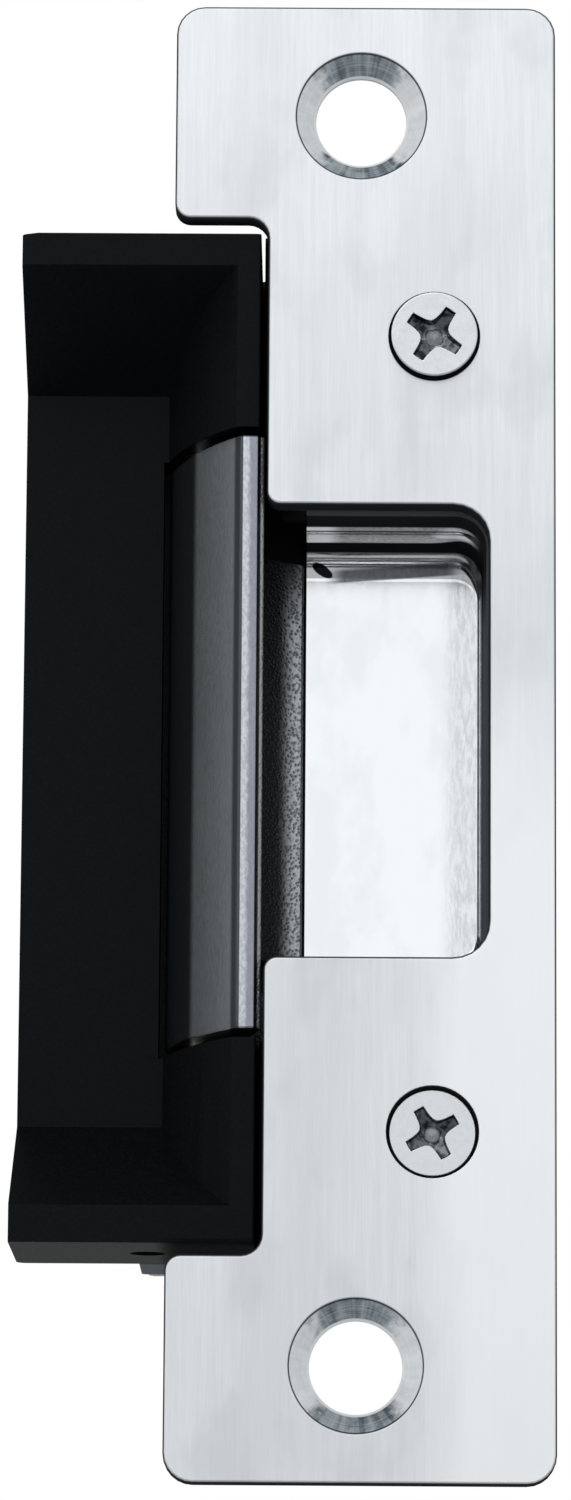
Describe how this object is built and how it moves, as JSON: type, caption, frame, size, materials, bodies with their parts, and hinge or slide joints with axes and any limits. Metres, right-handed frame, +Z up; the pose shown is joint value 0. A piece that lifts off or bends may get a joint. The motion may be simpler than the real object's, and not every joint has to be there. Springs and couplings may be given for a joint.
{
  "type": "electric door strike",
  "caption": "Electric door strike with a slotted steel faceplate, a dark run-in lip frame, a swinging keeper, a polished latch pocket and a solenoid lock in a case behind.",
  "frame": {"origin": "centre of the whole object's box with the keeper closed", "axes": "+Z up along the faceplate, +X to the right seen from the front, +Y back into the jamb; the faceplate's front faces -Y"},
  "size_m": [0.0446, 0.0286, 0.1238],
  "materials": {
    "satin_steel": "brushed lengthwise",
    "cover_steel": "zinc-plated sheet",
    "yoke_steel": "zinc-plated",
    "bright_plating": "polished plating",
    "black_casting": "satin black paint on a die casting",
    "keeper_casting": "plated steel casting with a ground ridge",
    "spring_steel": "bright drawn wire",
    "bronze": "sintered",
    "copper_wire": "enamelled winding",
    "nylon": "moulded",
    "terminal_plastic": "moulded",
    "lead_cover": "extruded",
    "grommet_rubber": "moulded"
  },
  "bodies": {
    "strike_body": {"faceplate": "satin_steel", "back_cover": "cover_steel", "solenoid_frame": "yoke_steel", "solenoid_pole": "yoke_steel", "latch_pocket": "bright_plating", "face_screw_upper": "bright_plating", "face_screw_lower": "bright_plating", "lip_screw_upper": "bright_plating", "lip_screw_lower": "bright_plating", "back_cover_screw_1": "bright_plating", "back_cover_screw_2": "bright_plating", "back_cover_screw_3": "bright_plating", "back_cover_screw_4": "bright_plating", "keeper_pin": "bright_plating", "solenoid_screw_left": "bright_plating", "solenoid_screw_right": "bright_plating", "lever_pivot_pin": "bright_plating", "terminal_screw_1": "bright_plating", "terminal_screw_2": "bright_plating", "lip_frame": "black_casting", "case_body": "black_casting", "keeper_return_spring": "spring_steel", "plunger_return_spring": "spring_steel", "lever_clip": "spring_steel", "keeper_bush_upper": "bronze", "keeper_bush_lower": "bronze", "solenoid_coil": "copper_wire", "solenoid_bobbin": "nylon", "terminal_block": "terminal_plastic", "coil_lead_1": "lead_cover", "coil_lead_2": "lead_cover", "cable_grommet": "grommet_rubber"},
    "keeper": {"keeper": "keeper_casting"},
    "plunger": {"plunger": "yoke_steel", "plunger_link_pin": "bright_plating"},
    "lever": {"locking_lever": "yoke_steel"}
  },
  "joints": [
    {"name": "keeper_swing", "type": "hinge", "parent": "strike_body", "child": "keeper", "pos_m": [-0.00702, -0.0016, 0], "axis": [0, 0, -1], "range_deg": [0, 80], "stiffness_Nm_per_rad": 0.03, "springref_deg": -20.05},
    {"name": "plunger_travel", "type": "slide", "parent": "strike_body", "child": "plunger", "axis": [0, 0, -1], "range_m": [0, 0.0018], "stiffness_N_per_m": 200, "springref_m": -0.001, "deforming": ["plunger_return_spring"]},
    {"name": "lever_swing", "type": "hinge", "parent": "strike_body", "child": "lever", "pos_m": [0.00487, -0.0025, -0.0263], "axis": [0, 1, 0], "range_deg": [0, 30]}
  ],
  "couplings": [
    {"joint": "lever_swing", "follows": "plunger_travel", "rad_per_m": 287.52}
  ]
}
